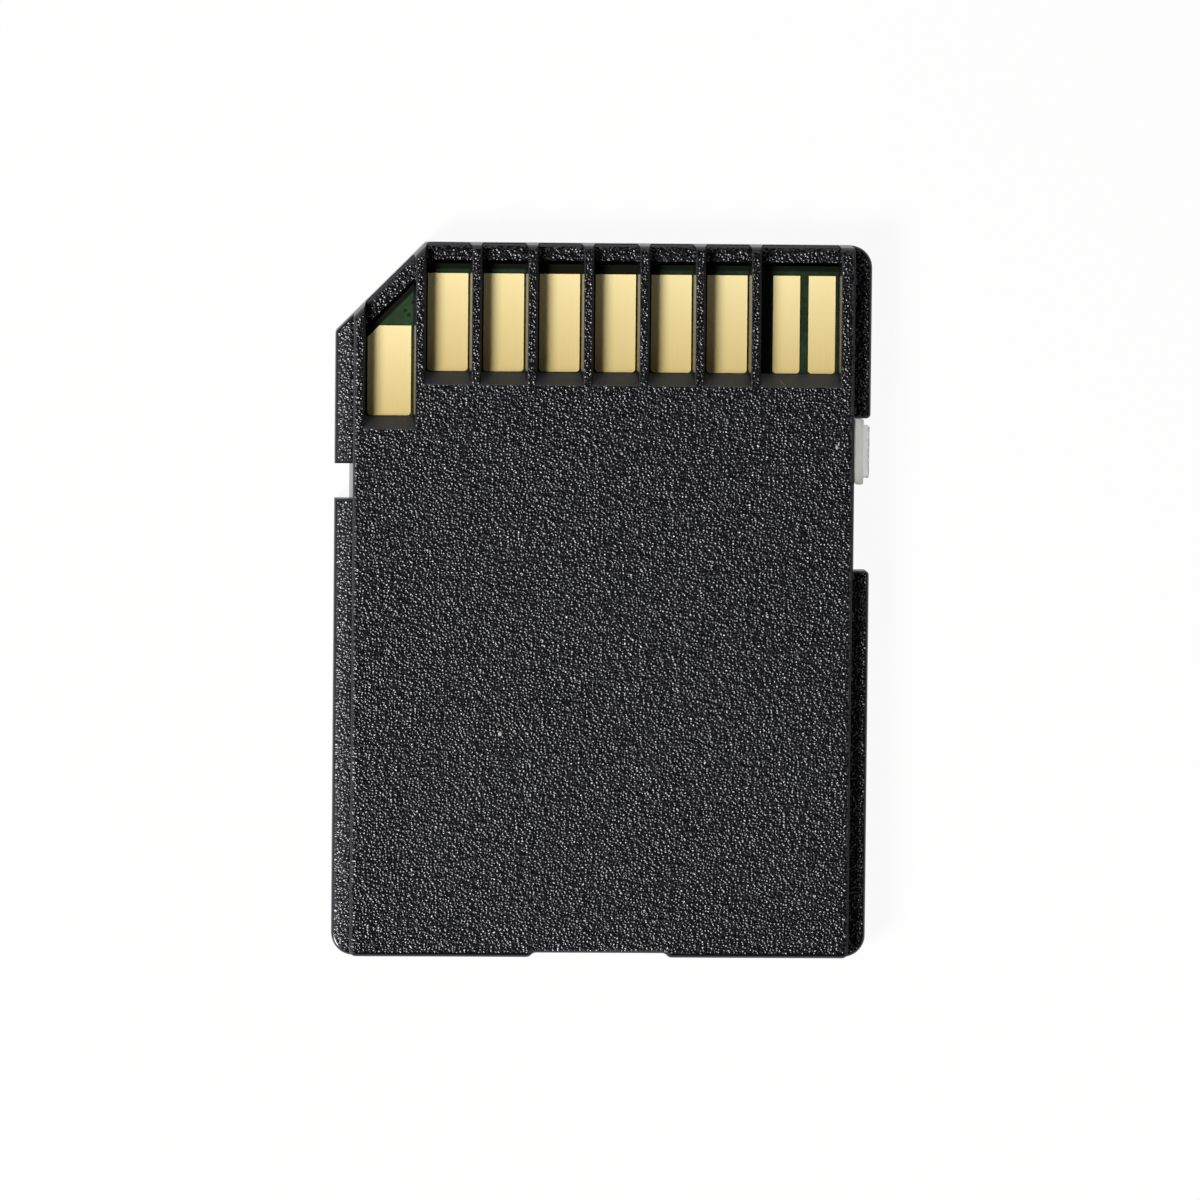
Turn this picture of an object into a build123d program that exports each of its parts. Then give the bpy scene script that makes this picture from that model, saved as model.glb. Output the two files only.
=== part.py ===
from build123d import *
from math import radians, sqrt, tan
import os

os.makedirs("parts", exist_ok=True)

# A memory card that lies on its label face with its contacts up.
# X runs across the card, Y along it towards the contact edge, Z up from the label face.
# Lengths are in millimetres and angles in degrees.

# Outline of the card
card_width = 24.0
card_length = 32.0
corner_radius = 1.0
key_corner_leg = 4.0  # each leg of the cut-off corner
key_corner_radius = 0.3
rail_edge_radius = 0.18

# Heights above the label face
card_thickness = 2.1
rail_height = 1.4
weld_height = 0.7  # the two half shells meet here
contact_height = 1.4  # top of the gold contacts
front_bar_height = 1.56

# Notches in the outline, each measured back from the contact edge
side_notch_setback = 9.93
side_notch_length = 1.57
side_notch_depth = 0.68  # at the label face
slider_notch_setback = 7.75
slider_notch_length = 6.83
slider_notch_depth = 0.7
slider_notch_lip_radius = 0.2
rear_recess_width = 6.3
rear_recess_depth = 0.2
rear_recess_end_run = 0.2  # its ends slope in over this length
rear_recess_radius = 0.28

# Shell walls
seam_chamfer = 0.04  # fine groove along the weld line
side_wall = 1.0
rear_wall = 1.0
front_bar_width = 0.78
front_bar_radius = 0.34  # rounded lead-in
rail_width = 0.79
face_corner_radius = 0.3
face_edge_radius = 0.22
floor_thickness = 0.33
label_recess_depth = 0.08
label_recess_margin = 1.0
label_recess_radius = 0.5
cavity_radius = 0.4

# Row of contact windows, first window measured from the key corner side
contact_pitch = 2.5
single_window_count = 6
first_window_offset = 5.0
window_width = 1.88  # clear width on the board
rib_draft = 10.0
rib_edge_flare = 0.04
rib_front_draft = 12.0  # the ends of the ribs lean back above the rails
rib_tip_radius = 0.38
rib_tip_corner_radius = 0.65
key_window_width = 2.08
pair_window_width = 3.4
window_length = 5.77  # contact edge to the foot of the ramp
key_window_length = 7.77
ramp_run = 0.58

# Contacts
pad_thickness = 0.035
pad_width = 1.8
pad_setback = 1.38
pad_rear_gap = 0.02  # between the contacts and the foot of the ramp
pad_corner_radius = 0.16
key_pad_width = 1.94
key_pad_setback = 3.74
key_pad_chamfer = 0.52
pair_pad_width = 1.2
pair_pad_pitch = 1.59
pair_pad_margin = 0.11  # between the last contact and its window wall

# Board and its seats
board_thickness = 0.32
board_gap = 0.17
board_radius = 0.3
rest_width = 0.8
rest_length = 1.6
rest_gap = 0.05  # between the board rests and the walls of the other half
front_side_rest_setback = 5.5
middle_side_rest_setback = 17.5
front_rest_length = 14.0
rear_rest_length = 14.0
peg_diameter = 0.7
peg_clearance = 0.05
peg_rise = 0.2  # above the board
peg_rest_size = 1.6
peg_side_inset = 1.4  # from the edge of the board
peg_rear_inset = 1.8
hold_down_width = 0.6
relief_depth = 0.3  # hollow in the raised face above the board
relief_setback = 9.4

# Write-protect slider, drawn at the contact end of its notch
slider_length = 2.93
slider_base_width = 0.36
slider_base_height = 1.14
slider_grip_length = 2.34
slider_grip_width = 0.27
slider_grip_height = 0.96
slider_gap = 0.03
slider_corner_radius = 0.08
slider_grip_radius = 0.07
slider_neck_length = 2.2
slider_neck_height = 0.4
slider_foot_length = 3.4
slider_foot_width = 0.55
slider_foot_gap = 0.06

# Memory package under the board
flash_width = 12.0
flash_body_length = 15.4
flash_thickness = 0.58
flash_standoff = 0.05
flash_draft = 8.0
flash_mark_diameter = 1.0
flash_mark_depth = 0.05
flash_mark_inset = 1.3
lead_count = 24  # on each end
lead_pitch = 0.5
lead_width = 0.2
lead_thickness = 0.1
lead_reach = 0.8  # out from the end of the body
lead_foot_length = 0.4
lead_shoulder_length = 0.18

# Controller and small components under the board
controller_size = 6.0
controller_thickness = 0.5
controller_edge_chamfer = 0.05
land_count = 12  # on each side
land_pitch = 0.4
land_width = 0.2
land_length = 0.4
land_thickness = 0.03
thermal_pad_size = 4.2
chip_length = 1.0
chip_width = 0.5
chip_end_length = 0.25
chip_end_overlap = 0.02  # how far the metal ends stand proud of the body
capacitor_thickness = 0.5
resistor_thickness = 0.35
capacitor_count = 5
capacitor_spacing = 1.8
resistor_count = 4
resistor_spacing = 1.2
resistor_gap = 0.75  # between the resistors and the controller

# Derived places
half_width = card_width / 2
half_length = card_length / 2
board_top = contact_height - pad_thickness
board_bottom = board_top - board_thickness
board_side = side_wall + board_gap
face_foot = weld_height + seam_chamfer
board_rear = rear_wall + board_gap - half_length
rib_base = contact_pitch - window_width
first_window_x = first_window_offset - half_width
key_window_x = first_window_x - contact_pitch / 2 - rib_base / 2 - key_window_width / 2
pair_window_x = (
    first_window_x + (single_window_count - 0.5) * contact_pitch + rib_base / 2 + pair_window_width / 2
)
slider_travel = slider_notch_length - slider_length - 2 * slider_gap
slider_notch_y = half_length - slider_notch_setback - slider_notch_length / 2
slider_y = slider_notch_y + slider_travel / 2
slider_wall_x = half_width - slider_notch_depth
slider_base_x = slider_wall_x + slider_gap
slider_grip_x = slider_base_x + slider_base_width
slider_foot_x = half_width - side_wall - slider_gap
peg_places = [
    (side * (half_width - board_side - peg_side_inset), board_rear + peg_rear_inset) for side in (-1, 1)
]
flash_top = board_bottom - flash_standoff
# The memory, the capacitors and the controller stand evenly spaced between the end rests
rear_rest_edge = rear_wall + rest_gap + rest_width - half_length
front_rest_edge = half_length - front_bar_width - rest_gap - rest_width
flash_tip_length = flash_body_length + 2 * lead_reach
component_length = flash_tip_length + chip_length + controller_size
component_gap = (front_rest_edge - rear_rest_edge - component_length) / 4
flash_y = rear_rest_edge + component_gap + flash_tip_length / 2
capacitor_y = flash_y + flash_tip_length / 2 + component_gap + chip_length / 2
controller_y = capacitor_y + chip_length / 2 + component_gap + controller_size / 2
controller_x = first_window_x + (single_window_count - 1) * contact_pitch / 2
resistor_x = controller_x - controller_size / 2 - resistor_gap - chip_length / 2


# Plans of the card

def key_corner(side, front):
    """The two ends of the cut-off corner on a plan set in from the card's outline."""
    on_front = (key_corner_leg + (sqrt(2) - 1) * front - half_width, half_length - front)
    on_side = (side - half_width, half_length - key_corner_leg - sqrt(2) * front + side)
    return on_front, on_side


def rounded_plan(corners):
    """A closed plan from corners that each give a place and a rounding radius."""
    with BuildSketch() as plan:
        with BuildLine():
            places = [place for place, radius in corners]
            radii = [radius for place, radius in corners]
            FilletPolyline(places, radius=radii, close=True)
        make_face()
    return plan.sketch


def inset_plan(side, front, rear, radius):
    """The card's plain outline, set in from each edge."""
    on_front, on_side = key_corner(side, front)
    return rounded_plan([
        ((side - half_width, rear - half_length), radius),
        ((half_width - side, rear - half_length), radius),
        ((half_width - side, half_length - front), radius),
        (on_front, radius),
        (on_side, radius),
    ])


def side_edge_notch(edge_x, first_y, last_y, root_x, lip_radius):
    """Four corners of a notch in a long edge, with a square root."""
    return [
        ((edge_x, first_y), lip_radius),
        ((root_x, first_y), 0),
        ((root_x, last_y), 0),
        ((edge_x, last_y), lip_radius),
    ]


recess_mouth = rear_recess_width / 2
recess_root = recess_mouth - rear_recess_end_run
rear_recess = [
    ((-recess_mouth, -half_length), rear_recess_radius),
    ((-recess_root, rear_recess_depth - half_length), rear_recess_radius),
    ((recess_root, rear_recess_depth - half_length), rear_recess_radius),
    ((recess_mouth, -half_length), rear_recess_radius),
]
slider_notch = side_edge_notch(
    half_width,
    slider_notch_y - slider_notch_length / 2,
    slider_notch_y + slider_notch_length / 2,
    slider_wall_x,
    slider_notch_lip_radius,
)
side_notch_front = half_length - side_notch_setback
side_notch = side_edge_notch(
    -half_width,
    side_notch_front,
    side_notch_front - side_notch_length,
    rail_width - half_width,
    0,
)
outer_key = key_corner(0, 0)
outline = rounded_plan([
    ((-half_width, -half_length), corner_radius),
    *rear_recess,
    ((half_width, -half_length), corner_radius),
    *slider_notch,
    ((half_width, half_length), corner_radius),
    (outer_key[0], key_corner_radius),
    (outer_key[1], key_corner_radius),
    *side_notch,
])

# The raised face shares its front, rear and key edges with the outline
face_key = key_corner(rail_width, 0)
face_plan = rounded_plan([
    ((rail_width - half_width, -half_length), face_corner_radius),
    *rear_recess,
    ((half_width - rail_width, -half_length), face_corner_radius),
    ((half_width - rail_width, half_length), face_corner_radius),
    (face_key[0], key_corner_radius),
    (face_key[1], face_corner_radius),
])
cavity_plan = inset_plan(side_wall, front_bar_width, rear_wall, cavity_radius)


# Root of the side notch, which leans from its depth at the label face back to the raised face
with BuildPart() as side_notch_root:
    with BuildSketch(Plane.XZ.offset(-side_notch_front)):
        with BuildLine():
            Polyline(
                (side_notch_depth - half_width, 0),
                (rail_width + rail_edge_radius - half_width, 0),
                (rail_width + rail_edge_radius - half_width, rail_height),
                (rail_width - half_width, rail_height),
                close=True,
            )
        make_face()
    extrude(amount=side_notch_length)


# Window cutter: drafted side walls, a ramp at the rear and flared top edges

def window_cutter(centre_x, width, length):
    """The space of one contact window, open at the contact edge."""
    front = half_length + front_bar_width
    sections = [
        (board_top, 0, 0),
        (card_thickness - rib_edge_flare, 1, 0),
        (card_thickness + rib_edge_flare, 1, 2 * rib_edge_flare),
    ]
    ramp_lean = ramp_run / (card_thickness - contact_height)
    with BuildPart() as cutter:
        for height, drafted, flare in sections:
            rise = drafted * (card_thickness - rib_edge_flare - board_top)
            spread = rise * tan(radians(rib_draft)) + flare
            rear = half_length - length - (rise - drafted * pad_thickness) * ramp_lean - flare
            with BuildSketch(Plane.XY.offset(height)):
                with Locations((centre_x, (front + rear) / 2)):
                    Rectangle(width + 2 * spread, front - rear)
        loft(ruled=True)
    return cutter.part


window_cutters = [
    window_cutter(first_window_x + index * contact_pitch, window_width, window_length)
    for index in range(single_window_count)
]
window_cutters.append(window_cutter(key_window_x, key_window_width, key_window_length))
window_cutters.append(window_cutter(pair_window_x, pair_window_width, window_length))


# Form of the rib ends along the contact edge and the key corner, wider and longer than the card elsewhere
with BuildPart() as rib_front:
    with BuildSketch(Plane.XY.offset(face_foot)):
        add(inset_plan(-side_wall, 0, -rear_wall, rib_tip_corner_radius))
    extrude(amount=rail_height - face_foot)
    with BuildSketch(Plane.XY.offset(rail_height)):
        add(inset_plan(-side_wall, 0, -rear_wall, rib_tip_corner_radius))
    extrude(amount=card_thickness - rail_height, taper=rib_front_draft)
    fillet(rib_front.faces().sort_by(Axis.Z)[-1].edges(), rib_tip_radius)

# Raised face of the rear shell, before its windows are cut
with BuildPart() as raised_face:
    with BuildSketch(Plane.XY.offset(face_foot)):
        add(face_plan)
    extrude(amount=card_thickness - face_foot)
    fillet(raised_face.faces().sort_by(Axis.Z)[-1].edges(), face_edge_radius)
    add(rib_front.part, mode=Mode.INTERSECT)

# Low bar along the contact edge and the key corner, with a rounded lead-in
with BuildPart() as front_bar:
    with BuildSketch(Plane.XY.offset(face_foot)):
        add(face_plan)
        add(inset_plan(-side_wall, front_bar_width, -rear_wall, cavity_radius), mode=Mode.SUBTRACT)
    extrude(amount=front_bar_height - face_foot)
    fillet(front_bar.faces().sort_by(Axis.Z)[-1].edges().sort_by(Axis.Y)[-1], front_bar_radius)

# Rear shell: rails, raised face, ribs between the windows, front bar
with BuildPart() as rear_shell:
    with BuildSketch(Plane.XY.offset(weld_height)):
        add(outline)
    extrude(amount=rail_height - weld_height)
    fillet(rear_shell.faces().sort_by(Axis.Z)[-1].edges(), rail_edge_radius)
    chamfer(rear_shell.faces().sort_by(Axis.Z)[0].edges(), seam_chamfer)
    split(side_notch_root.part, bisect_by=Plane.XY.offset(weld_height), keep=Keep.TOP, mode=Mode.ADD)
    add(raised_face.part)
    for cutter in window_cutters:
        add(cutter, mode=Mode.SUBTRACT)
    add(front_bar.part)
    # Seat of the board, and the relief above it behind the windows
    with BuildSketch(Plane.XY.offset(weld_height)):
        add(cavity_plan)
    extrude(amount=board_top - weld_height, mode=Mode.SUBTRACT)
    with BuildSketch(Plane.XY.offset(board_top)):
        relief_rear = rear_wall + hold_down_width - half_length
        relief_front = half_length - relief_setback
        with Locations((0, (relief_rear + relief_front) / 2)):
            RectangleRounded(card_width - 2 * (side_wall + hold_down_width), relief_front - relief_rear,
                             cavity_radius)
    extrude(amount=relief_depth, mode=Mode.SUBTRACT)
    # Upper half of the slot for the slider's neck
    with BuildSketch(Plane.XY.offset(weld_height)):
        with Locations((slider_wall_x, slider_notch_y)):
            Rectangle(2 * side_wall, slider_neck_length + slider_travel + 2 * slider_foot_gap)
    extrude(amount=slider_neck_height / 2 + slider_gap, mode=Mode.SUBTRACT)

# Front shell: label side tray with rests and pegs for the board
with BuildPart() as front_shell:
    with BuildSketch():
        add(outline)
    extrude(amount=weld_height)
    fillet(front_shell.faces().sort_by(Axis.Z)[0].edges(), rail_edge_radius)
    chamfer(front_shell.faces().sort_by(Axis.Z)[-1].edges(), seam_chamfer)
    split(side_notch_root.part, bisect_by=Plane.XY.offset(weld_height), keep=Keep.BOTTOM, mode=Mode.ADD)
    with BuildSketch(Plane.XY.offset(floor_thickness)):
        add(cavity_plan)
    extrude(amount=weld_height - floor_thickness, mode=Mode.SUBTRACT)
    with BuildSketch():
        add(inset_plan(label_recess_margin, label_recess_margin, label_recess_margin, label_recess_radius))
    extrude(amount=label_recess_depth, mode=Mode.SUBTRACT)
    # Rests that carry the board
    with BuildSketch(Plane.XY.offset(floor_thickness)):
        rest_x = half_width - side_wall - rest_gap - rest_width / 2
        for setback in (front_side_rest_setback, middle_side_rest_setback):
            with Locations((-rest_x, half_length - setback), (rest_x, half_length - setback)):
                Rectangle(rest_width, rest_length)
        with Locations((0, half_length - front_bar_width - rest_gap - rest_width / 2)):
            Rectangle(front_rest_length, rest_width)
        with Locations((0, rear_wall + rest_gap + rest_width / 2 - half_length)):
            Rectangle(rear_rest_length, rest_width)
        with Locations(peg_places):
            Rectangle(peg_rest_size, peg_rest_size)
    extrude(amount=board_bottom - floor_thickness)
    with BuildSketch(Plane.XY.offset(board_bottom)):
        with Locations(peg_places):
            Circle(peg_diameter / 2)
    extrude(amount=board_thickness + peg_rise)
    # Lower half of the slot for the slider's neck
    with BuildSketch(Plane.XY.offset(weld_height)):
        with Locations((slider_wall_x, slider_notch_y)):
            Rectangle(2 * side_wall, slider_neck_length + slider_travel + 2 * slider_foot_gap)
    extrude(amount=-slider_neck_height / 2 - slider_gap, mode=Mode.SUBTRACT)

# Write-protect slider: grip and base in the notch, neck through the wall, foot inside
with BuildPart() as slider:
    with BuildSketch(Plane.XY.offset(weld_height)) as slider_base_plan:
        with Locations((slider_base_x + slider_base_width / 2, slider_y)):
            RectangleRounded(slider_base_width, slider_length, slider_corner_radius)
    extrude(amount=slider_base_height / 2, both=True)
    with BuildSketch(Plane.XY.offset(weld_height)) as slider_grip_plan:
        with Locations((slider_grip_x + slider_grip_width / 2 - slider_corner_radius / 2, slider_y)):
            RectangleRounded(slider_grip_width + slider_corner_radius, slider_grip_length,
                             slider_grip_radius)
    extrude(amount=slider_grip_height / 2, both=True)
    with BuildSketch(Plane.XY.offset(weld_height)):
        with Locations(((slider_foot_x + slider_base_x) / 2, slider_y)):
            Rectangle(slider_base_x - slider_foot_x + slider_corner_radius, slider_neck_length)
    extrude(amount=slider_neck_height / 2, both=True)
    with BuildSketch(Plane.XY.offset(floor_thickness + slider_foot_gap)):
        with Locations((slider_foot_x - slider_foot_width / 2, slider_y)):
            RectangleRounded(slider_foot_width, slider_foot_length, slider_corner_radius)
    extrude(amount=board_bottom - floor_thickness - 2 * slider_foot_gap)

# Circuit board, with a clearance hole for each peg
with BuildPart() as circuit_board:
    with BuildSketch(Plane.XY.offset(board_bottom)):
        add(inset_plan(board_side, front_bar_width + board_gap, rear_wall + board_gap, board_radius))
        with Locations(peg_places):
            Circle(peg_diameter / 2 + peg_clearance, mode=Mode.SUBTRACT)
    extrude(amount=board_thickness)

pieces = {
    "front_shell": front_shell,
    "rear_shell": rear_shell,
    "write_protect_slider": slider,
    "circuit_board": circuit_board,
}

# Gold contacts, numbered from the window next to the key window; the key contact is the last
pair_pad_8_x = pair_window_x + pair_window_width / 2 - pair_pad_margin - pair_pad_width / 2
pads = [
    (first_window_x + index * contact_pitch, pad_width, pad_setback, window_length)
    for index in range(single_window_count)
]
pads.append((pair_pad_8_x - pair_pad_pitch, pair_pad_width, pad_setback, window_length))
pads.append((pair_pad_8_x, pair_pad_width, pad_setback, window_length))
pads.append((key_window_x, key_pad_width, key_pad_setback, key_window_length))
for number, (pad_x, width, setback, window_end) in enumerate(pads, start=1):
    pad_length = window_end - pad_rear_gap - setback
    with BuildPart() as contact_pad:
        with BuildSketch(Plane.XY.offset(board_top)) as pad_plan:
            with Locations((pad_x, half_length - setback - pad_length / 2)):
                Rectangle(width, pad_length)
            fillet(pad_plan.vertices().group_by(Axis.Y)[0], pad_corner_radius)
            if number == len(pads):
                chamfer(pad_plan.vertices().group_by(Axis.Y)[-1].sort_by(Axis.X)[0], key_pad_chamfer)
        extrude(amount=pad_thickness)
    pieces[f"contact_pad_{number}"] = contact_pad

# Memory package, drafted both ways from its lead plane, with a round orientation mark
with BuildPart() as flash_package:
    with BuildSketch(Plane.XY.offset(flash_top - flash_thickness / 2)):
        with Locations((0, flash_y)):
            Rectangle(flash_width, flash_body_length)
    extrude(amount=flash_thickness / 2, taper=flash_draft)
    mirror(about=Plane.XY.offset(flash_top - flash_thickness / 2))
    with BuildSketch(Plane.XY.offset(flash_top - flash_thickness)):
        mark_x = flash_width / 2 - flash_mark_inset
        mark_y = flash_y + flash_body_length / 2 - flash_mark_inset
        with Locations((mark_x, mark_y)):
            Circle(flash_mark_diameter / 2)
    extrude(amount=flash_mark_depth, mode=Mode.SUBTRACT)
pieces["flash_memory_package"] = flash_package

# One gull wing lead, from the package's end up to the board
lead_low = flash_top - flash_thickness / 2 - lead_thickness / 2
lead_high = board_bottom - lead_thickness
lead_slope_end = lead_reach - lead_foot_length
with BuildPart() as lead:
    with BuildSketch(Plane.YZ.offset(-lead_width / 2)):
        with BuildLine():
            Polyline(
                (0, lead_low),
                (lead_shoulder_length, lead_low),
                (lead_slope_end, lead_high),
                (lead_reach, lead_high),
                (lead_reach, lead_high + lead_thickness),
                (lead_slope_end - lead_thickness / 2, lead_high + lead_thickness),
                (lead_shoulder_length - lead_thickness / 2, lead_low + lead_thickness),
                (0, lead_low + lead_thickness),
                close=True,
            )
        make_face()
    extrude(amount=lead_width)

with BuildPart() as flash_leads:
    with Locations((0, flash_y + flash_body_length / 2, 0)):
        with GridLocations(lead_pitch, 0, lead_count, 1):
            add(lead.part)
    mirror(about=Plane.XZ.offset(-flash_y))
pieces["flash_memory_leads"] = flash_leads

# Controller package on its lands and thermal pad
controller_top = board_bottom - land_thickness
with BuildPart() as controller:
    with BuildSketch(Plane.XY.offset(controller_top)):
        with Locations((controller_x, controller_y)):
            Rectangle(controller_size, controller_size)
    extrude(amount=-controller_thickness)
    chamfer(controller.faces().sort_by(Axis.Z)[0].edges(), controller_edge_chamfer)
pieces["controller_package"] = controller

with BuildPart() as controller_lands:
    with BuildSketch(Plane.XY.offset(controller_top)):
        land_row_gap = controller_size - land_length
        with Locations((controller_x, controller_y)):
            Rectangle(thermal_pad_size, thermal_pad_size)
            with GridLocations(land_pitch, land_row_gap, land_count, 2):
                Rectangle(land_width, land_length)
            with GridLocations(land_row_gap, land_pitch, 2, land_count):
                Rectangle(land_length, land_width)
    extrude(amount=land_thickness)
pieces["controller_lands"] = controller_lands


# Chip components: a body with a metal cap at each end, soldered under the board

def chip_component(place, along, thickness):
    """One chip component, its length along a direction, under the board at its place."""
    seat = Plane(origin=(*place, board_bottom), x_dir=along)
    with BuildPart() as chip:
        with BuildSketch(seat):
            with GridLocations(chip_length - chip_end_length, 0, 2, 1):
                Rectangle(chip_end_length, chip_width)
        extrude(amount=-thickness)
        with BuildSketch(seat.offset(-chip_end_overlap)):
            Rectangle(chip_length - chip_end_length, chip_width - 2 * chip_end_overlap)
        extrude(amount=2 * chip_end_overlap - thickness)
    return chip


for index in range(capacitor_count):
    capacitor_x = controller_x + (index - (capacitor_count - 1) / 2) * capacitor_spacing
    pieces[f"decoupling_capacitor_{index + 1}"] = chip_component(
        (capacitor_x, capacitor_y), (0, 1, 0), capacitor_thickness)
for index in range(resistor_count):
    resistor_y = controller_y + (index - (resistor_count - 1) / 2) * resistor_spacing
    pieces[f"pull_up_resistor_{index + 1}"] = chip_component(
        (resistor_x, resistor_y), (1, 0, 0), resistor_thickness)

for name, piece in pieces.items():
    piece.part.label = name
    export_step(piece.part, f"parts/{name}.step")
print("slider travel", round(slider_travel, 3), "mm, slider centre at y", round(slider_y, 3))
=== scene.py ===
import bpy
import math
from mathutils import Euler, Matrix, Vector


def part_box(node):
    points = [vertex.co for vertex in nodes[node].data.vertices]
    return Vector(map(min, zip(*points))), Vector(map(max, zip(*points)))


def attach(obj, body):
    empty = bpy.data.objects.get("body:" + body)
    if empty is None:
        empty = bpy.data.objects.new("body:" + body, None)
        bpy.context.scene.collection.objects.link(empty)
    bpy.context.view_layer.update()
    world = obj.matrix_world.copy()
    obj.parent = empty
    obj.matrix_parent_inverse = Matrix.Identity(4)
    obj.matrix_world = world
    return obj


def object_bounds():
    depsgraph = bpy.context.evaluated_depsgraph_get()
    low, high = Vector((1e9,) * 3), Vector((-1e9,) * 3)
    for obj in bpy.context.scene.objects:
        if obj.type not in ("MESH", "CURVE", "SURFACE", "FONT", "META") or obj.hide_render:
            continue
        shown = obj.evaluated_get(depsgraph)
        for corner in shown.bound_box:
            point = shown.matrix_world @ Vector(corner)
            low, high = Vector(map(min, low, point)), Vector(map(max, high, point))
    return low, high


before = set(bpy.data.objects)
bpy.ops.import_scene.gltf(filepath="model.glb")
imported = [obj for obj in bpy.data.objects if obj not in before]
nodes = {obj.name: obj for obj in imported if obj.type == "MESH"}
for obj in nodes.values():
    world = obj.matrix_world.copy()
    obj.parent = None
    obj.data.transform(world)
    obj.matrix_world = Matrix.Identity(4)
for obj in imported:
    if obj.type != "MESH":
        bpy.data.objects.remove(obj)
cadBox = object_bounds()
mm = 0.001
print("frame loaded,", len(nodes), "nodes")


def hexLinear(code):
    channels = [int(code[i:i + 2], 16) / 255 for i in (1, 3, 5)]
    return [c / 12.92 if c <= 0.04045 else ((c + 0.055) / 1.055) ** 2.4 for c in channels] + [1.0]


# adds one node, sets its properties, and sets or links its inputs
def addNode(tree, kind, inputs=None, **settings):
    node = tree.nodes.new(kind)
    for name, value in settings.items():
        setattr(node, name, value)
    for name, value in (inputs or {}).items():
        if isinstance(value, bpy.types.NodeSocket):
            tree.links.new(value, node.inputs[name])
        else:
            node.inputs[name].default_value = value
    return node


def startMaterial(name):
    material = bpy.data.materials.new(name)
    material.use_nodes = True
    material.node_tree.nodes.clear()
    return material, material.node_tree


def dress(material, *names):
    for name in names:
        nodes[name].data.materials.clear()
        nodes[name].data.materials.append(material)


# Black PC-ABS moulded in a spark-eroded tool: the eye sees a field of tiny glossy craters that sparkle on every outer
# level face, smooth edges and flanks where the tool was ground, and satin ramps painted grey as a painted sheen, and
# the rail on the notch's side painted paler as painted light.
shellLook = {
    "deep": "#050506",
    "pale": "#0c0c0e",
    "craterSize": 0.12,      # mm across one spark crater
    "craterSlope": 0.45,     # rise over run at the rim of a mean crater
    "waveSize": 0.3,         # mm, uneven ground under the craters
    "waveHeight": 0.08,      # mm
    "grainRoughness": (0.25, 0.36),
    "raisedFrom": 1.48,      # mm, the face lies above this and the rails below
    "levelFrom": 0.78,       # upward part of the normal where the grain starts
    "levelTo": 0.87,
    "midHeight": 0.75,       # mm, the grain lies further than insideReach above or below this
    "insideReach": 0.64,     # mm
    "edgeRoughness": 0.22,
    "shadeRoughness": 0.8,   # the raised face's edges are duller on the slider's side
    "rearBand": 0.2,         # mm, plain strip along the rear edge
    "railPaintedLight": "#1f1f22",   # painted light: the rail on the notch's side is paler where the lamp falls on it
    "railWidth": 0.7,        # mm in from the outline that this rail is crowned
    "railFall": 0.5,         # its slope at the outline
    # painted sheen: the ramps are painted grey for the light off the white paper that they reflect
    "rampPaintedSheen": "#4c5158",
    "rampRoughness": 0.4,
    "rampFrom": 12.0,        # mm, slopes towards the contact edge behind this are ramps
}


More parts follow.
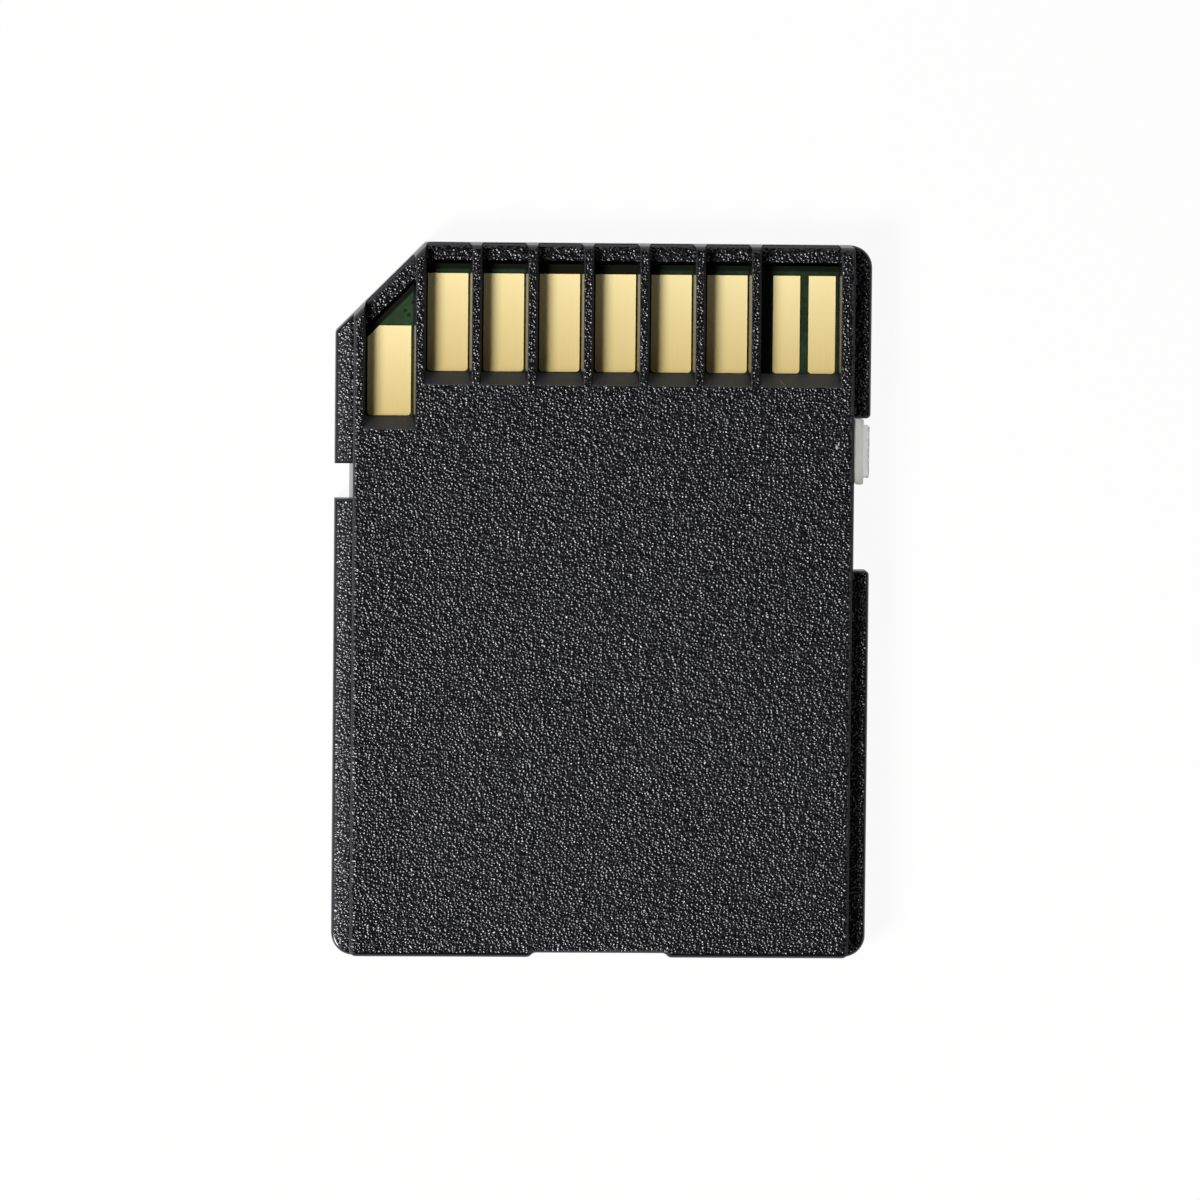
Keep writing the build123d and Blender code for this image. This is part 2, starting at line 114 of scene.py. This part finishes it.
def makeShellPlastic(look):
    material, tree = startMaterial("Black PC-ABS, spark-eroded mould grain")
    place = addNode(tree, "ShaderNodeTexCoord")
    spot = addNode(tree, "ShaderNodeSeparateXYZ", {0: place.outputs["Object"]})
    facing = addNode(tree, "ShaderNodeSeparateXYZ", {0: place.outputs["Normal"]})

    # where the grain is
    upward = addNode(tree, "ShaderNodeMath", {0: facing.outputs["Z"]}, operation="ABSOLUTE")
    level = addNode(tree, "ShaderNodeMapRange", {
        "Value": upward.outputs[0], "From Min": look["levelFrom"], "From Max": look["levelTo"]},
        interpolation_type="SMOOTHSTEP")
    offMiddle = addNode(tree, "ShaderNodeMath", {0: spot.outputs["Z"], 1: look["midHeight"] * mm},
                        operation="SUBTRACT")
    reach = addNode(tree, "ShaderNodeMath", {0: offMiddle.outputs[0]}, operation="ABSOLUTE")
    outer = addNode(tree, "ShaderNodeMath", {0: reach.outputs[0], 1: look["insideReach"] * mm},
                    operation="GREATER_THAN")
    grain = addNode(tree, "ShaderNodeMath", {0: level.outputs[0], 1: outer.outputs[0]}, operation="MULTIPLY")
    offRear = addNode(tree, "ShaderNodeMapRange", {
        "Value": spot.outputs["Y"], "From Min": cadBox[0][1] + 0.8 * look["rearBand"] * mm,
        "From Max": cadBox[0][1] + 1.2 * look["rearBand"] * mm})
    grain = addNode(tree, "ShaderNodeMath", {0: grain.outputs[0], 1: offRear.outputs[0]}, operation="MULTIPLY")

    # where the ramps are
    forward = addNode(tree, "ShaderNodeMath", {0: facing.outputs["Y"], 1: 0.5}, operation="GREATER_THAN")
    behind = addNode(tree, "ShaderNodeMath", {0: spot.outputs["Y"], 1: look["rampFrom"] * mm},
                     operation="LESS_THAN")
    ramp = addNode(tree, "ShaderNodeMath", {0: forward.outputs[0], 1: behind.outputs[0]}, operation="MULTIPLY")

    # craters on uneven ground, heights as shares of a crater's depth
    craterDepth = look["craterSlope"] * look["craterSize"]
    craters = addNode(tree, "ShaderNodeTexVoronoi", {
        "Vector": place.outputs["Object"], "Scale": 1 / (look["craterSize"] * mm)})
    bowls = addNode(tree, "ShaderNodeMath", {0: craters.outputs["Distance"], 1: craters.outputs["Distance"]},
                    operation="MULTIPLY")
    waves = addNode(tree, "ShaderNodeTexNoise", {
        "Vector": place.outputs["Object"], "Scale": 1 / (look["waveSize"] * mm),
        "Detail": 1.0, "Roughness": 0.5})
    height = addNode(tree, "ShaderNodeMath", {
        0: waves.outputs["Fac"], 1: look["waveHeight"] / craterDepth, 2: bowls.outputs[0]}, operation="MULTIPLY_ADD")
    # the rail on the notch's side falls a little towards the outline
    rail = addNode(tree, "ShaderNodeMapRange", {
        "Value": spot.outputs["X"], "From Min": cadBox[0][0] + look["railWidth"] * mm, "From Max": cadBox[0][0]})
    crown = addNode(tree, "ShaderNodeMath", {0: rail.outputs[0], 1: 2.0}, operation="POWER")
    fall = look["railFall"] * look["railWidth"] / 2
    height = addNode(tree, "ShaderNodeMath", {
        0: crown.outputs[0], 1: -fall / craterDepth, 2: height.outputs[0]}, operation="MULTIPLY_ADD")
    bump = addNode(tree, "ShaderNodeBump", {
        "Strength": grain.outputs[0], "Distance": craterDepth * mm, "Height": height.outputs[0]})

    colour = addNode(tree, "ShaderNodeMix", {
        "Factor": waves.outputs["Fac"], "A": hexLinear(look["deep"]), "B": hexLinear(look["pale"])},
        data_type="RGBA")
    # painted light: the grained rail on the notch's side is given a paler colour for the lamp that lights it
    paintedRailLight = addNode(tree, "ShaderNodeMath", {0: rail.outputs[0], 1: 0.0}, operation="GREATER_THAN")
    paintedRailLight = addNode(tree, "ShaderNodeMath", {0: paintedRailLight.outputs[0], 1: grain.outputs[0]}, operation="MULTIPLY")
    colour = addNode(tree, "ShaderNodeMix", {
        "Factor": paintedRailLight.outputs[0], "A": colour.outputs[2], "B": hexLinear(look["railPaintedLight"])}, data_type="RGBA")
    # painted sheen: grey on the ramps stands in for the light they reflect
    colour = addNode(tree, "ShaderNodeMix", {
        "Factor": ramp.outputs[0], "A": colour.outputs[2], "B": hexLinear(look["rampPaintedSheen"])}, data_type="RGBA")
    gloss = addNode(tree, "ShaderNodeSeparateColor", {0: craters.outputs["Color"]})
    grainRough = addNode(tree, "ShaderNodeMapRange", {
        "Value": gloss.outputs[0], "To Min": look["grainRoughness"][0], "To Max": look["grainRoughness"][1]})
    raised = addNode(tree, "ShaderNodeMath", {0: spot.outputs["Z"], 1: look["raisedFrom"] * mm},
                     operation="GREATER_THAN")
    shaded = addNode(tree, "ShaderNodeMath", {0: facing.outputs["X"], 1: raised.outputs[0]}, operation="MULTIPLY")
    edgeRough = addNode(tree, "ShaderNodeMapRange", {
        "Value": shaded.outputs[0], "From Min": 0.2, "From Max": 0.5,
        "To Min": look["edgeRoughness"], "To Max": look["shadeRoughness"]})
    smoothRough = addNode(tree, "ShaderNodeMapRange", {
        "Value": ramp.outputs[0], "To Min": edgeRough.outputs[0], "To Max": look["rampRoughness"]})
    rough = addNode(tree, "ShaderNodeMix", {
        "Factor": grain.outputs[0], "A": smoothRough.outputs[0], "B": grainRough.outputs[0]})
    shader = addNode(tree, "ShaderNodeBsdfPrincipled", {
        "Base Color": colour.outputs[2], "Roughness": rough.outputs[0], "IOR": 1.58,
        "Specular Tint": hexLinear("#f6f7ff"), "Normal": bump.outputs[0]})
    addNode(tree, "ShaderNodeOutputMaterial", {"Surface": shader.outputs[0]})
    return material


dress(makeShellPlastic(shellLook), "rear_shell", "front_shell")
print("shells dressed")

# Hard gold electroplated over nickel on rolled copper foil: a matt metal with faint lines along the rolling
# direction.
# Its colour is painted light and shade: pale at the contact edge and darker, deeper yellow towards the ramp.
goldLook = {
    # painted light and shade along each pad: pale at its contact edge, deeper yellow at its ramp end
    "paintedLitEnd": "#fff5cd",
    "deep": "#ebdca8",
    "roughness": (0.86, 0.9),
    "lineWidth": 0.05,       # mm, drawn coarser than real rolling lines so that they show
    "lineLength": 2.5,       # mm
    "lineHeight": 0.0003,    # mm
}


def makeGoldPlate(look, name, frontY, rearY):
    material, tree = startMaterial(name)
    place = addNode(tree, "ShaderNodeTexCoord")
    spot = addNode(tree, "ShaderNodeSeparateXYZ", {0: place.outputs["Object"]})
    back = addNode(tree, "ShaderNodeMapRange", {"Value": spot.outputs["Y"], "From Min": frontY, "From Max": rearY})
    along = addNode(tree, "ShaderNodeMapping", {
        "Vector": place.outputs["Object"],
        "Scale": (1 / (look["lineWidth"] * mm), 1 / (look["lineLength"] * mm), 1 / (look["lineWidth"] * mm))})
    lines = addNode(tree, "ShaderNodeTexNoise", {
        "Vector": along.outputs[0], "Scale": 1.0, "Detail": 2.0, "Roughness": 0.6})
    # painted light and shade: pale at the contact edge, darker towards the ramp
    colour = addNode(tree, "ShaderNodeMix", {
        "Factor": back.outputs[0], "A": hexLinear(look["paintedLitEnd"]), "B": hexLinear(look["deep"])},
        data_type="RGBA")
    rough = addNode(tree, "ShaderNodeMapRange", {
        "Value": lines.outputs["Fac"], "From Min": 0.3, "From Max": 0.7,
        "To Min": look["roughness"][0], "To Max": look["roughness"][1]})
    bump = addNode(tree, "ShaderNodeBump", {
        "Strength": 1.0, "Distance": look["lineHeight"] * mm, "Height": lines.outputs["Fac"]})
    shader = addNode(tree, "ShaderNodeBsdfPrincipled", {
        "Base Color": colour.outputs[2], "Metallic": 1.0, "Roughness": rough.outputs[0],
        "Normal": bump.outputs[0]})
    addNode(tree, "ShaderNodeOutputMaterial", {"Surface": shader.outputs[0]})
    return material


# the key contact is set back, so its shade runs over its own length
for padNames, title in (([f"contact_pad_{number}" for number in range(1, 9)], "Hard gold, electroplated"),
                        (["contact_pad_9"], "Hard gold, electroplated, key contact")):
    low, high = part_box(padNames[0])
    dress(makeGoldPlate(goldLook, title, high[1], low[1]), *padNames)
print("contacts dressed")

# Glass-epoxy board under green solder resist: green where copper lies under it, near black in the bare
# margin along its edge, brown over two wide traces, with small pits and a soft gloss.
boardLook = {
    "bare": "#141913",
    "resist": "#151e15",
    "thin": "#344b33",
    "trace": "#1d160a",
    "keyEdge": 22.656,       # mm, y less x along the cut-off corner
    "margin": (0.2, 0.26),   # mm without copper along that edge and the contact edge
    "traceSides": (-2.9, 1.6),  # mm across the card
    "pourTo": -7.6,          # mm, the key corner's copper pour shows paler up to here
    "pourShare": 0.45,
    "weave": 0.25,           # mm
    "mottle": 0.9,           # mm
    "pits": [(-8.562, 13.288), (-8.903, 12.937), (-8.733, 12.742)],  # mm
    "pitSize": 0.055,        # mm
}


def makeBoard(look):
    material, tree = startMaterial("Glass epoxy, green solder resist")
    place = addNode(tree, "ShaderNodeTexCoord")
    spot = addNode(tree, "ShaderNodeSeparateXYZ", {0: place.outputs["Object"]})

    # distance in from the contact edge and from the cut-off corner
    frontEdge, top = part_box("circuit_board")[1][1:]
    inFront = addNode(tree, "ShaderNodeMath", {0: frontEdge, 1: spot.outputs["Y"]}, operation="SUBTRACT")
    diagonal = addNode(tree, "ShaderNodeMath", {0: spot.outputs["Y"], 1: spot.outputs["X"]},
                       operation="SUBTRACT")
    inKey = addNode(tree, "ShaderNodeMapRange", {
        "Value": diagonal.outputs[0], "From Min": look["keyEdge"] * mm, "From Max": 0.0,
        "To Min": 0.0, "To Max": look["keyEdge"] * mm / math.sqrt(2)}, clamp=False)
    inwards = addNode(tree, "ShaderNodeMath", {0: inFront.outputs[0], 1: inKey.outputs[0]}, operation="MINIMUM")
    copper = addNode(tree, "ShaderNodeMapRange", {
        "Value": inwards.outputs[0], "From Min": look["margin"][0] * mm, "From Max": look["margin"][1] * mm})

    mottle = addNode(tree, "ShaderNodeTexNoise", {
        "Vector": place.outputs["Object"], "Scale": 1 / (look["mottle"] * mm), "Detail": 4.0, "Roughness": 0.6})
    weave = addNode(tree, "ShaderNodeTexNoise", {
        "Vector": place.outputs["Object"], "Scale": 1 / (look["weave"] * mm), "Detail": 3.0})
    tone = addNode(tree, "ShaderNodeMath", {0: mottle.outputs["Fac"], 1: weave.outputs["Fac"]},
                   operation="MULTIPLY")
    spread = addNode(tree, "ShaderNodeMapRange", {
        "Value": tone.outputs[0], "From Min": 0.12, "From Max": 0.4, "To Min": 0.15, "To Max": 0.6})
    pour = addNode(tree, "ShaderNodeMapRange", {
        "Value": spot.outputs["X"], "From Min": (look["pourTo"] - 0.2) * mm, "From Max": (look["pourTo"] + 0.2) * mm,
        "To Min": look["pourShare"], "To Max": 0.0})
    thinness = addNode(tree, "ShaderNodeMath", {0: spread.outputs[0], 1: pour.outputs[0]})
    green = addNode(tree, "ShaderNodeMix", {
        "Factor": thinness.outputs[0], "A": hexLinear(look["resist"]), "B": hexLinear(look["thin"])},
        data_type="RGBA")

    # the two wide traces, then the bare margin, then the pits
    middle = sum(look["traceSides"]) / 2
    span = look["traceSides"][1] - look["traceSides"][0]
    overTrace = addNode(tree, "ShaderNodeMath", {
        0: spot.outputs["X"], 1: middle * mm, 2: span / 2 * mm}, operation="COMPARE")
    green = addNode(tree, "ShaderNodeMix", {
        "Factor": overTrace.outputs[0], "A": green.outputs[2], "B": hexLinear(look["trace"])}, data_type="RGBA")
    colour = addNode(tree, "ShaderNodeMix", {
        "Factor": copper.outputs[0], "A": hexLinear(look["bare"]), "B": green.outputs[2]}, data_type="RGBA")
    for x, y in look["pits"]:
        away = addNode(tree, "ShaderNodeVectorMath", {
            0: place.outputs["Object"], 1: (x * mm, y * mm, top)}, operation="DISTANCE")
        inPit = addNode(tree, "ShaderNodeMapRange", {
            "Value": away.outputs["Value"], "From Min": look["pitSize"] * mm, "From Max": 2 * look["pitSize"] * mm,
            "To Min": 0.8, "To Max": 0.0})
        colour = addNode(tree, "ShaderNodeMix", {
            "Factor": inPit.outputs[0], "A": colour.outputs[2], "B": hexLinear(look["bare"])}, data_type="RGBA")

    bump = addNode(tree, "ShaderNodeBump", {
        "Strength": 1.0, "Distance": 0.006 * mm, "Height": weave.outputs["Fac"]})
    shader = addNode(tree, "ShaderNodeBsdfPrincipled", {
        "Base Color": colour.outputs[2], "Roughness": 0.26, "IOR": 1.52, "Normal": bump.outputs[0]})
    addNode(tree, "ShaderNodeOutputMaterial", {"Surface": shader.outputs[0]})
    return material


dress(makeBoard(boardLook), "circuit_board")
print("board dressed")

# Natural acetal, moulded: a milky grey-white plastic that lets light through, with faint flow marks, and a grip
# painted whiter as painted light.
sliderLook = {
    "milky": "#eeefe8",
    "flow": "#e4e5dc",
    "grip": "#ffffff",
    "gripFrom": 11.66,       # mm across the card; beyond this the grip is painted whiter, painted light for the light it gets out of the raised face's shade
    "flowSize": 0.8,         # mm
    "depth": 1.0,            # mm that light spreads inside
    "clear": 0.8,            # share of the light that goes through
}


def makeAcetal(look):
    material, tree = startMaterial("Natural acetal, moulded")
    place = addNode(tree, "ShaderNodeTexCoord")
    flow = addNode(tree, "ShaderNodeTexNoise", {
        "Vector": place.outputs["Object"], "Scale": 1 / (look["flowSize"] * mm), "Detail": 3.0})
    colour = addNode(tree, "ShaderNodeMix", {
        "Factor": flow.outputs["Fac"], "A": hexLinear(look["milky"]), "B": hexLinear(look["flow"])},
        data_type="RGBA")
    spot = addNode(tree, "ShaderNodeSeparateXYZ", {0: place.outputs["Object"]})
    onGrip = addNode(tree, "ShaderNodeMapRange", {
        "Value": spot.outputs["X"], "From Min": look["gripFrom"] * mm, "From Max": (look["gripFrom"] + 0.06) * mm})
    # painted light: the grip is painted whiter than the shaded base
    colour = addNode(tree, "ShaderNodeMix", {
        "Factor": onGrip.outputs[0], "A": colour.outputs[2], "B": hexLinear(look["grip"])}, data_type="RGBA")
    bump = addNode(tree, "ShaderNodeBump", {
        "Strength": 1.0, "Distance": 0.01 * mm, "Height": flow.outputs["Fac"]})
    shader = addNode(tree, "ShaderNodeBsdfPrincipled", {
        "Base Color": colour.outputs[2], "Roughness": 0.5, "IOR": 1.48, "Normal": bump.outputs[0],
        "Transmission Weight": look["clear"],
        "Subsurface Weight": 1.0, "Subsurface Radius": (1.0, 1.0, 0.95), "Subsurface Scale": look["depth"] * mm})
    addNode(tree, "ShaderNodeOutputMaterial", {"Surface": shader.outputs[0]})
    return material


dress(makeAcetal(sliderLook), "write_protect_slider")
print("slider dressed")


# a plain material of two close colours in specks, with a fine relief
def makeSpeckled(name, dark, light, grit, roughness, metallic=0.0, relief=0.004):
    material, tree = startMaterial(name)
    place = addNode(tree, "ShaderNodeTexCoord")
    speck = addNode(tree, "ShaderNodeTexNoise", {
        "Vector": place.outputs["Object"], "Scale": 1 / (grit * mm), "Detail": 3.0})
    colour = addNode(tree, "ShaderNodeMix", {
        "Factor": speck.outputs["Fac"], "A": hexLinear(dark), "B": hexLinear(light)}, data_type="RGBA")
    bump = addNode(tree, "ShaderNodeBump", {
        "Strength": 1.0, "Distance": relief * mm, "Height": speck.outputs["Fac"]})
    shader = addNode(tree, "ShaderNodeBsdfPrincipled", {
        "Base Color": colour.outputs[2], "Roughness": roughness, "Metallic": metallic, "Normal": bump.outputs[0]})
    addNode(tree, "ShaderNodeOutputMaterial", {"Surface": shader.outputs[0]})
    return material


# The closed inside: dull black epoxy packages, bright tin plate, brown ceramic and dark glassy film.
# Two colours, speck size in mm, roughness, metal or not, and the nodes
insideLooks = {
    "Filled epoxy, transfer moulded": ("#17171a", "#232326", 0.15, 0.55, 0.0,
                                       ["flash_memory_package", "controller_package"]),
    "Tin plate, reflowed": ("#c8c8c6", "#b5b6b6", 0.2, 0.32, 1.0, ["flash_memory_leads", "controller_lands"]),
    "Barium titanate, fired": ("#7a6147", "#8d7357", 0.08, 0.5, 0.0,
                               [f"decoupling_capacitor_{number}" for number in range(1, 6)]),
    "Ruthenium film under glass, fired": ("#1c1d22", "#2b2d33", 0.1, 0.3, 0.0,
                                          [f"pull_up_resistor_{number}" for number in range(1, 5)]),
}
for name, (dark, light, grit, roughness, metallic, names) in insideLooks.items():
    dress(makeSpeckled(name, dark, light, grit, roughness, metallic), *names)
print("inside dressed")

# Dust and wear: matt grey crumbs of felted lint, two on the face, and a third crumb on a rib's lit edge that is a
# painted highlight, put where the lamp glints;
# and a pale scuff where something hard dragged up the last ramp
dustLook = {
    "lint": "#9c9c95",
    "fibre": "#b9b7ab",
    "torn": "#55565a",
    "scuff": "#8f8f8d",
    "crumple": 0.25,         # how uneven a crumb is, as a share of its size
    "seed": 7,
    "crumbs": [              # place and size in mm
        ((-4.516, -5.93, 2.1), (0.2, 0.2, 0.09)),
        ((10.446, 6.997, 2.1), (0.14, 0.22, 0.08)),
        # painted highlight: this crumb on the rib's edge stands for a glint of the lamp
        ((6.777, 11.439, 2.09), (0.09, 0.11, 0.08)),
    ],
    "scuffEnds": ((7.843, 10.017, 1.657), (8.15, 9.68, 2.064)),  # mm
    "scuffWidth": 0.045,     # mm
    "rampFacing": (0, 0.7, 0.58),
}


# one tree for both: a crumpled ball on each point, scaled and turned by the point's own attributes
def makeCrumbTree():
    tree = bpy.data.node_groups.new("crumbs", "GeometryNodeTree")
    for name, kind in (("Geometry", "Geometry"), ("Crumple", "Float"), ("Seed", "Float"), ("Material", "Material")):
        tree.interface.new_socket(name, in_out="INPUT", socket_type="NodeSocket" + kind)
    tree.interface.new_socket("Geometry", in_out="OUTPUT", socket_type="NodeSocketGeometry")
    start = addNode(tree, "NodeGroupInput")
    ball = addNode(tree, "GeometryNodeMeshIcoSphere", {"Radius": 0.5, "Subdivisions": 3})
    noise = addNode(tree, "ShaderNodeTexNoise", {"W": start.outputs["Seed"], "Scale": 3.0}, noise_dimensions="4D")
    swell = addNode(tree, "ShaderNodeMath", {0: noise.outputs["Fac"], 1: 0.5}, operation="SUBTRACT")
    swell = addNode(tree, "ShaderNodeMath", {0: swell.outputs[0], 1: start.outputs["Crumple"]}, operation="MULTIPLY")
    facing = addNode(tree, "GeometryNodeInputNormal")
    push = addNode(tree, "ShaderNodeVectorMath", {0: facing.outputs[0], "Scale": swell.outputs[0]}, operation="SCALE")
    crumb = addNode(tree, "GeometryNodeSetPosition", {"Geometry": ball.outputs["Mesh"], "Offset": push.outputs[0]})
    size = addNode(tree, "GeometryNodeInputNamedAttribute", {"Name": "size"}, data_type="FLOAT_VECTOR")
    turn = addNode(tree, "GeometryNodeInputNamedAttribute", {"Name": "turn"}, data_type="FLOAT_VECTOR")
    turned = addNode(tree, "FunctionNodeEulerToRotation", {0: turn.outputs["Attribute"]})
    spread = addNode(tree, "GeometryNodeInstanceOnPoints", {
        "Points": start.outputs["Geometry"], "Instance": crumb.outputs[0],
        "Rotation": turned.outputs[0], "Scale": size.outputs["Attribute"]})
    whole = addNode(tree, "GeometryNodeRealizeInstances", {0: spread.outputs[0]})
    smooth = addNode(tree, "GeometryNodeSetShadeSmooth", {0: whole.outputs[0]})
    painted = addNode(tree, "GeometryNodeSetMaterial", {
        "Geometry": smooth.outputs[0], "Material": start.outputs["Material"]})
    addNode(tree, "NodeGroupOutput", {0: painted.outputs[0]})
    return tree


def scatter(name, tree, places, material, crumple, seed):
    mesh = bpy.data.meshes.new(name)
    mesh.from_pydata([Vector(place) * mm for place, size, turn in places], [], [])
    for key, column in (("size", 1), ("turn", 2)):
        values = mesh.attributes.new(key, "FLOAT_VECTOR", "POINT")
        for i, spot in enumerate(places):
            values.data[i].vector = Vector(spot[column]) * (mm if key == "size" else 1)
    made = bpy.data.objects.new(name, mesh)
    bpy.context.scene.collection.objects.link(made)
    modifier = made.modifiers.new("crumbs", "NODES")
    modifier.node_group = tree
    settings = {"Crumple": crumple, "Seed": seed, "Material": material}
    for item in tree.interface.items_tree:
        if item.name in settings:
            modifier[item.identifier] = settings[item.name]
    plain = bpy.data.meshes.new_from_object(made.evaluated_get(bpy.context.evaluated_depsgraph_get()))
    made.modifiers.clear()
    made.data = plain
    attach(made, "card")


crumbTree = makeCrumbTree()
scatter("dustCrumbsAndRibGlint", crumbTree, [(place, size, (0, 0, 0)) for place, size in dustLook["crumbs"]],
        makeSpeckled("Lint, felted fibres", dustLook["lint"], dustLook["fibre"], 0.04, 0.9),
        dustLook["crumple"], dustLook["seed"])
low, high = [Vector(end) for end in dustLook["scuffEnds"]]
along = (high - low).normalized()
across = along.cross(Vector(dustLook["rampFacing"])).normalized()
frameTurn = Matrix((across, along, across.cross(along))).transposed().to_euler()
scuffSize = (dustLook["scuffWidth"], (high - low).length, 0.02)
scatter("rampScuff", crumbTree, [((low + high) / 2, scuffSize, frameTurn)],
        makeSpeckled("PC-ABS, scuffed pale", dustLook["torn"], dustLook["scuff"], 0.06, 0.7), 0.0, dustLook["seed"])
print("dust and wear set")

# Studio: a white paper sweep that rises beyond the contact edge, one soft box from the left and the
# rear, and a room with white walls and a dim ceiling
studio = {
    "paperWidth": 4.0,       # m
    "paperNear": -2.0,       # m, where the paper starts
    "paperRise": 0.5,        # m, where it starts to curve up
    "paperCurve": 0.25,      # m, radius of the curve
    "paperDrop": 0.00002,    # m below the card
    "paperWhite": "#f4f4f2",
    "paperGlow": 0.94,       # share of the paper that shows as plain white
    "boxTurn": 214.0,        # degrees from +X, anticlockwise
    "boxRise": 39.0,         # degrees above the table
    "boxDistance": 0.45,     # m
    "boxSize": (0.14, 0.15),  # m
    "boxPower": 3.15,        # W
    "boxColour": "#fffefc",
    "room": "#ffffff",
    "roomStrength": 0.012,
    "wallTop": (10.0, 35.0),  # degrees above the table, where the white walls fade to the dim ceiling
}


def makePaper(look):
    profile = [(look["paperNear"], 0.0)]
    for step in range(17):
        angle = math.radians(90 * step / 16)
        profile.append((look["paperRise"] + look["paperCurve"] * math.sin(angle),
                        look["paperCurve"] * (1 - math.cos(angle))))
    half = look["paperWidth"] / 2
    corners = [(side * half, y, z - look["paperDrop"]) for y, z in profile for side in (-1, 1)]
    faces = [(2 * i, 2 * i + 1, 2 * i + 3, 2 * i + 2) for i in range(len(profile) - 1)]
    mesh = bpy.data.meshes.new("paper")
    mesh.from_pydata(corners, [], faces)
    mesh.shade_smooth()
    paper = bpy.data.objects.new("paper", mesh)
    bpy.context.scene.collection.objects.link(paper)
    material, tree = startMaterial("White paper sweep")
    path = addNode(tree, "ShaderNodeLightPath")
    seen = addNode(tree, "ShaderNodeMath", {0: path.outputs["Is Camera Ray"], 1: path.outputs["Is Glossy Ray"]},
                   operation="MAXIMUM")
    seen = addNode(tree, "ShaderNodeMath", {0: seen.outputs[0], 1: path.outputs["Is Transmission Ray"]},
                   operation="MAXIMUM")
    share = addNode(tree, "ShaderNodeMath", {0: seen.outputs[0], 1: look["paperGlow"]}, operation="MULTIPLY")
    matt = addNode(tree, "ShaderNodeBsdfDiffuse", {"Color": hexLinear(look["paperWhite"])})
    glow = addNode(tree, "ShaderNodeEmission", {"Color": hexLinear("#ffffff"), "Strength": 1.0})
    front = addNode(tree, "ShaderNodeMixShader", {0: share.outputs[0], 1: matt.outputs[0], 2: glow.outputs[0]})
    clear = addNode(tree, "ShaderNodeBsdfTransparent")
    facing = addNode(tree, "ShaderNodeNewGeometry")
    # from below the paper is clear, so that the label side can be looked at
    both = addNode(tree, "ShaderNodeMixShader", {
        0: facing.outputs["Backfacing"], 1: front.outputs[0], 2: clear.outputs[0]})
    addNode(tree, "ShaderNodeOutputMaterial", {"Surface": both.outputs[0]})
    mesh.materials.append(material)


def makeSoftBox(look):
    turn, rise = math.radians(look["boxTurn"]), math.radians(look["boxRise"])
    towards = Vector((math.cos(turn) * math.cos(rise), math.sin(turn) * math.cos(rise), math.sin(rise)))
    lamp = bpy.data.lights.new("softBox", "AREA")
    lamp.shape = "RECTANGLE"
    lamp.size, lamp.size_y = look["boxSize"]
    lamp.energy = look["boxPower"]
    lamp.color = hexLinear(look["boxColour"])[:3]
    box = bpy.data.objects.new("softBox", lamp)
    box.location = towards * look["boxDistance"]
    box.rotation_euler = (-towards).to_track_quat("-Z", "Y").to_euler()
    bpy.context.scene.collection.objects.link(box)


def makeRoom(look):
    world = bpy.data.worlds.new("room")
    bpy.context.scene.world = world
    world.use_nodes = True
    tree = world.node_tree
    tree.nodes.clear()
    path = addNode(tree, "ShaderNodeLightPath")
    dim = addNode(tree, "ShaderNodeBackground", {
        "Color": hexLinear(look["room"]), "Strength": look["roomStrength"]})
    white = addNode(tree, "ShaderNodeBackground", {"Color": hexLinear("#ffffff"), "Strength": 1.0})
    # the walls are white in reflections and through clear pieces too
    bounced = addNode(tree, "ShaderNodeMath", {
        0: path.outputs["Is Glossy Ray"], 1: path.outputs["Is Transmission Ray"]}, operation="MAXIMUM")
    place = addNode(tree, "ShaderNodeTexCoord")
    heading = addNode(tree, "ShaderNodeSeparateXYZ", {0: place.outputs["Generated"]})
    low, high = [math.sin(math.radians(angle)) for angle in look["wallTop"]]
    wall = addNode(tree, "ShaderNodeMapRange", {
        "Value": heading.outputs["Z"], "From Min": low, "From Max": high, "To Min": 1.0, "To Max": 0.0})
    wall = addNode(tree, "ShaderNodeMath", {0: wall.outputs[0], 1: bounced.outputs[0]}, operation="MULTIPLY")
    seen = addNode(tree, "ShaderNodeMath", {0: path.outputs["Is Camera Ray"], 1: wall.outputs[0]},
                   operation="MAXIMUM")
    both = addNode(tree, "ShaderNodeMixShader", {0: seen.outputs[0], 1: dim.outputs[0], 2: white.outputs[0]})
    addNode(tree, "ShaderNodeOutputWorld", {"Surface": both.outputs[0]})


makePaper(studio)
makeSoftBox(studio)
makeRoom(studio)
print("studio set")

# Camera above the card, a little towards the contact edge and the left edge
camera = {
    "place": (-19.204, 25.197, 400.0),             # mm
    "turn": (-3.63388, -2.71355, 0.53906),         # degrees
    "lens": 8924.81 * 36 / 1200,                   # mm, from the picture's scale
}
lensData = bpy.data.cameras.new("camera")
lensData.sensor_width = 36
lensData.lens = camera["lens"]
lensData.clip_start, lensData.clip_end = 0.01, 20
eye = bpy.data.objects.new("camera", lensData)
eye.location = Vector(camera["place"]) * mm
eye.rotation_euler = Euler([math.radians(a) for a in camera["turn"]], "XYZ")
bpy.context.scene.collection.objects.link(eye)
bpy.context.scene.camera = eye
bpy.context.scene.view_settings.view_transform = "Standard"
print("camera set")
